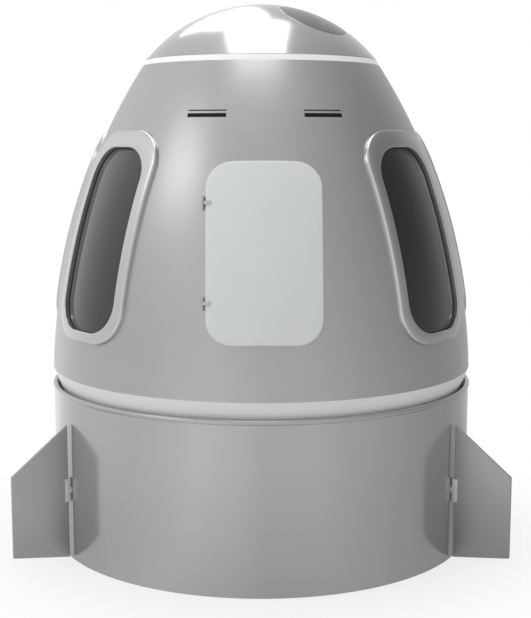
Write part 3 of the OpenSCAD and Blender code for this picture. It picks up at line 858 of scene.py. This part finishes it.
def pinned_at(x, up, out, pad, cross_seams, ends):
    """Whether a place on a pad stays put: at the pad's foot, or on a seam of its top."""
    seam = abs(abs(x) - SEAM_X) < SEAM_HALF_W or any(abs(up - line) < SEAM_HALF_W
                                                     for line in cross_seams)
    return out < pad[0] + PINNED_FOOT or (
        out > pad[1] - SEAM_D and seam and abs(x) < SEAM_REACH and ends[0] < up < ends[1])


def pan_seams(x, up, out):
    return pinned_at(x, up, out, PAN_PAD, (0.21,), (0.02, 0.39))


def back_seams(x, up, out):
    return pinned_at(x, up, out, BACK_PAD, (0.30, 0.46, 0.62), (0.15, 0.80))


pan_pad = pad_mould("seat_cushion", PAD_HALF_W, PAN_PAD_L, *PAN_PAD, 0.06, pan_place)
back_pad = pad_mould("back_cushion", PAD_HALF_W, BACK_PAD_L, *BACK_PAD, 0.08,
                     lambda x, up, out: back_point(x, up + BACK_PAD_UP, out))
puffed(pan_pad, pan_seams, pan_local)
puffed(back_pad, back_seams, back_local)

frame_parts = [
    seat_block("foot", (-0.13, 0.13), (-0.13, 0.13), (0.0003, 0.03), 0.008),
    seat_block("stem", (-0.09, 0.09), (-0.10, 0.10), (0.02, 0.34), 0.02),
    seat_block("pan", (-SEAT_HALF_W, SEAT_HALF_W), (-PAN_L / 2, PAN_L / 2), (PAN_Z, 0.392),
               0.022, steps=4),
    seat_block("back", (-SEAT_HALF_W, SEAT_HALF_W), (0.0, 0.86), (0.0, 0.052), 0.022,
               back_point, 4),
    seat_block("wing", (-SEAT_HALF_W, -0.234), (0.14, 0.80), (0.02, 0.10), 0.007, back_point),
    seat_block("wing", (0.234, SEAT_HALF_W), (0.14, 0.80), (0.02, 0.10), 0.007, back_point),
]
seat_shell = clean(joined("seat_frame", frame_parts))


def piping(name, half_w, length, corner, rise, out, place):
    flat = outline(2 * half_w, 2 * half_w, length, corner, length / 2 + rise)
    return clean(tube(name, [place(x, up, out) for x, up in flat], 0.0045, 8, closed=True))


pan_piping = piping("seat_piping", 0.232, 0.418, 0.064, -0.004, PAN_PAD[0] + 0.006, pan_place)
back_piping = piping("back_piping", 0.231, 0.806, 0.083, 0.042, BACK_PAD[0] + 0.006, back_point)

for i in range(WINDOW_N):
    turn = turned(WINDOW_FIRST_AZ + WINDOW_PITCH * i)
    fit(copied(seat_shell, f"seat_frame_{i + 1}", turn), shell_plastic,
        replaced=(f"seat_{i + 1}",))
    for part, label in ((pan_pad, "seat_cushion"), (back_pad, "back_cushion")):
        made = fit(copied(part, f"{label}_{i + 1}", turn), leather)
        pick(made)
        bpy.ops.object.shade_smooth()
    trims = [copied(part, "piping", turn) for part in (pan_piping, back_piping)]
    fit(joined(f"seat_piping_{i + 1}", trims), webbing)
for mould in (pan_pad, back_pad, seat_shell, pan_piping, back_piping):
    bpy.data.objects.remove(mould)


# ---------------------------------------------------------------- heat shield tiles

SHIELD_R, SHIELD_DROP = 1.8, 0.26
BALL_R = (SHIELD_R ** 2 + SHIELD_DROP ** 2) / (2 * SHIELD_DROP)
BALL_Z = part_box("heat_shield")[0].z + BALL_R


def shield_point(radius, degrees, out):
    down = math.sqrt(BALL_R ** 2 - radius ** 2)
    part = (BALL_R + out) / BALL_R
    place = ring_point(radius * part, degrees, -down * part)
    return place + Vector((0, 0, BALL_Z))


TILE_T, TILE_ROUND, TILE_JOINT = 0.010, 0.003, 0.008
TILE_ROWS = ((0.60, 0.89, 18), (0.898, 1.188, 24), (1.196, 1.486, 30), (1.494, 1.784, 36))


def tile(inner, outer, start, end, steps=4):
    def loop(shrink, out):
        sides = []
        for radius in (inner + shrink, outer - shrink):
            a = start + math.degrees(shrink / radius)
            b = end - math.degrees(shrink / radius)
            sides.append([shield_point(radius, a + (b - a) * k / steps, out)
                          for k in range(steps + 1)])
        return sides[0] + sides[1][::-1]
    return loft("tile", [loop(0, -0.002), loop(0, TILE_T - TILE_ROUND),
                         loop(TILE_ROUND, TILE_T)], ends=True)


tiles = []
for inner, outer, count in TILE_ROWS:
    joint = math.degrees(TILE_JOINT / outer)
    for k in range(count):
        start = 360 / count * (k + 0.5 * (count % 12 == 0))
        tiles.append(tile(inner, outer, start + joint / 2, start + 360 / count - joint / 2))
loops = [[shield_point(r, 7.5 * k, out) for k in range(48)] for r, out in
         ((0.23, -0.002), (0.23, TILE_T - TILE_ROUND), (0.227, TILE_T), (0.12, TILE_T),
          (0.02, TILE_T))]
tiles.append(loft("tile", loops, ends=True))
fit(clean(joined("shield_tiles", tiles)), ablator)


# ---------------------------------------------------------------- studio and camera

scene.view_settings.view_transform = "Standard"


def towards(azimuth, elevation):
    turn, up = math.radians(azimuth), math.radians(elevation)
    return Vector((math.cos(up) * math.sin(turn), -math.cos(up) * math.cos(turn), math.sin(up)))


DARK_SIDE = towards(100, 24)
GLOSS_STOPS = ((0.0, 0.88), (0.07, 0.84), (0.12, 0.93), (0.22, 1.10), (0.36, 0.95), (0.43, 0.80),
               (0.60, 0.84), (0.78, 0.68), (0.88, 0.56), (0.94, 0.47), (0.96, 0.40), (1.0, 0.26))
DIFFUSE_LEVEL = 0.95


def seen_rays(tree):
    """Three masks, 1 for a ray from the camera, off a glossy surface and through glass."""
    path = tree.nodes.new("ShaderNodeLightPath")
    return [Value(tree, path.outputs[kind])
            for kind in ("Is Camera Ray", "Is Glossy Ray", "Is Transmission Ray")]


def side_shade(direction):
    """The background's level by its direction: darker towards the right."""
    facing = direction.node("ShaderNodeVectorMath", {"operation": "DOT_PRODUCT"},
                            {0: direction, 1: DARK_SIDE}, 1)
    return ramp(facing * 0.5 + 0.5, GLOSS_STOPS)


world = bpy.data.worlds.new("studio")
scene.world = world
world.use_nodes = True
tree = world.node_tree
direction = Value(tree, tree.nodes.new("ShaderNodeTexCoord").outputs["Generated"])
by_camera, by_gloss, by_glass = seen_rays(tree)
shade = side_shade(direction)
level = by_camera + by_glass + by_gloss * shade
level = level + (1 - by_camera - by_gloss - by_glass) * shade * DIFFUSE_LEVEL
background = tree.nodes["Background"]
background.inputs["Color"].default_value = (1, 1, 1, 1)
tree.links.new(level.socket, background.inputs["Strength"])

FLOOR_R, PAINTED_SHADOW_REACH, SHADOW_REACH = 40, 5.0, 1.5
floor = begin("studio_floor", bpy.ops.mesh.primitive_circle_add, vertices=64, radius=FLOOR_R,
              fill_type="NGON")
floor_paint = bpy.data.materials.new("studio_floor")
floor_paint.use_nodes = True
tree = floor_paint.node_tree
place = Value(tree, tree.nodes.new("ShaderNodeTexCoord").outputs["Object"])
by_camera, by_gloss, by_glass = seen_rays(tree)
shade = side_shade(place.node("ShaderNodeVectorMath", {"operation": "NORMALIZE"}, {0: place}))
far_out = place.node("ShaderNodeVectorMath", {"operation": "LENGTH"}, {0: place}, 1)
# Painted shadow: for glossy rays the floor glows darker close to the object, standing in for its
# shadow on the floor as seen in reflections.
near = ramp((far_out - BODY_R) / PAINTED_SHADOW_REACH, ((0.0, 0.80), (0.8, 1.08)))
glow = by_camera + by_glass + by_gloss * shade * near
shader = tree.nodes["Principled BSDF"]
shader.inputs["Base Color"].default_value = srgb(0.9)
shader.inputs["Roughness"].default_value = 0.9
shader.inputs["Specular IOR Level"].default_value = 0.0
seen = by_gloss + by_glass + by_camera * ramp((far_out - BODY_R) / SHADOW_REACH,
                                              ((0.0, 0.75), (1.0, 1.0)))
light = seen.node("ShaderNodeEmission", None, {"Strength": glow})
mixed = seen.node("ShaderNodeMixShader", None, {0: seen, 2: light})
tree.links.new(shader.outputs[0], mixed.socket.node.inputs[1])
tree.links.new(mixed.socket, tree.nodes["Material Output"].inputs["Surface"])
floor.data.materials.append(floor_paint)


def softbox(name, place, target, width, height, power):
    lamp = bpy.data.lights.new(name, "AREA")
    lamp.shape = "RECTANGLE"
    lamp.size, lamp.size_y, lamp.energy = width, height, power
    made = bpy.data.objects.new(name, lamp)
    scene.collection.objects.link(made)
    made.location = place
    made.rotation_euler = (Vector(target) - Vector(place)).to_track_quat("-Z", "Y").to_euler()


softbox("key", (-8.3, -5.6, 10.1), (0, 0, 2.6), 5.0, 3.6, 88)
softbox("top", (-0.25, -0.2, 10.2), (-0.25, -0.15, 4.6), 3.3, 6.0, 190)
softbox("back_top", (-1.5, 4.5, 9.7), (0, -0.5, 4.8), 3.2, 3.6, 125)

LENS, SHIFT_X, CAMERA_PLACE, CAMERA_PITCH = 70.25, 0.0068, (0.0, -11.62, 3.82), 8.14
camera_data = bpy.data.cameras.new("camera")
camera_data.lens = LENS
camera_data.shift_x = SHIFT_X
camera = bpy.data.objects.new("camera", camera_data)
scene.collection.objects.link(camera)
camera.location = CAMERA_PLACE
camera.rotation_euler = (math.radians(90 - CAMERA_PITCH), 0.0, 0.0)
scene.camera = camera
